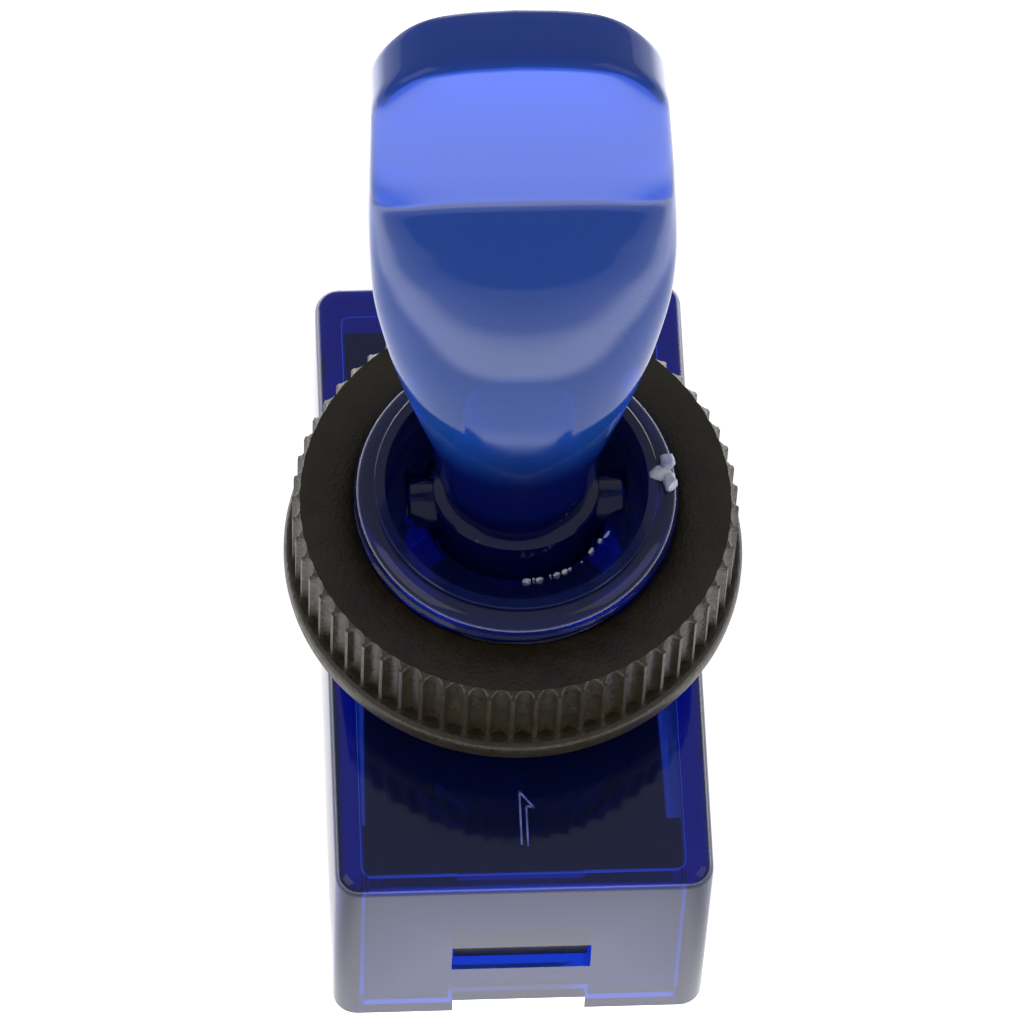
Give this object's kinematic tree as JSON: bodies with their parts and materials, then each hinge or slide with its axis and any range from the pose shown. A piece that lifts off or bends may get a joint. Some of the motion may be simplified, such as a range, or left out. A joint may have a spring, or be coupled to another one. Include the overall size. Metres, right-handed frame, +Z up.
{
  "type": "toggle switch",
  "caption": "Illuminated toggle switch with a clear blue paddle lever, clear blue housing, black ring nut and blade terminals, for a round panel hole.",
  "frame": {"origin": "where the bushing's axis meets the housing's top face, which the panel seats on", "axes": "+Z up the bushing towards the lever, +X across the housing, +Y the way the lever leans at rest"},
  "size_m": [0.0172, 0.0258, 0.0473],
  "materials": {
    "blue_housing": "clear blue, glossy",
    "blue_lever": "clear blue, polished",
    "black_nut": "matte black, moulded knurl",
    "black_base": "matte black",
    "terminal_brass": "stamped, satin",
    "contact_silver": "silver alloy, satin",
    "spring_brass": "satin",
    "spring_steel": "bright wire",
    "lamp_lens": "clear epoxy",
    "lead_wire": "tinned wire",
    "resistor_body": "enamel"
  },
  "bodies": {
    "body": {"housing": "blue_housing", "base": "black_base", "terminal_power": "terminal_brass", "terminal_load": "terminal_brass", "terminal_ground": "terminal_brass", "fixed_contact": "contact_silver", "ground_wiper": "spring_brass"},
    "lever": {"toggle_lever": "blue_lever", "led_lens": "lamp_lens", "led_anode_lead": "lead_wire", "led_cathode_lead": "lead_wire", "resistor": "resistor_body", "resistor_lead": "lead_wire", "spring_cap": "spring_brass", "plunger_spring": "spring_steel"},
    "plunger": {"plunger": "spring_brass"},
    "rocker": {"rocker": "spring_brass", "rocker_contact": "contact_silver"},
    "nut": {"ring_nut": "black_nut"}
  },
  "joints": [
    {"name": "lever_tilt", "type": "hinge", "parent": "body", "child": "lever", "pos_m": [0, 0, 0.0056], "axis": [1, 0, 0], "range_deg": [0, 26]},
    {"name": "rocker_tilt", "type": "hinge", "parent": "body", "child": "rocker", "pos_m": [0, 0, -0.00415], "axis": [1, 0, 0], "range_deg": [-20, 0]},
    {"name": "plunger_slide", "type": "slide", "parent": "lever", "child": "plunger", "axis": [0, 0.225, 0.9744], "range_m": [0, 0.001], "stiffness_N_per_m": 500, "springref_m": -0.002, "deforming": ["plunger_spring"]},
    {"name": "nut_travel", "type": "slide", "parent": "body", "child": "nut", "axis": [0, 0, 1], "range_m": [0, 0.00575]}
  ],
  "couplings": [
    {"joint": "rocker_tilt", "follows": "lever_tilt", "ratio": -0.76923}
  ]
}
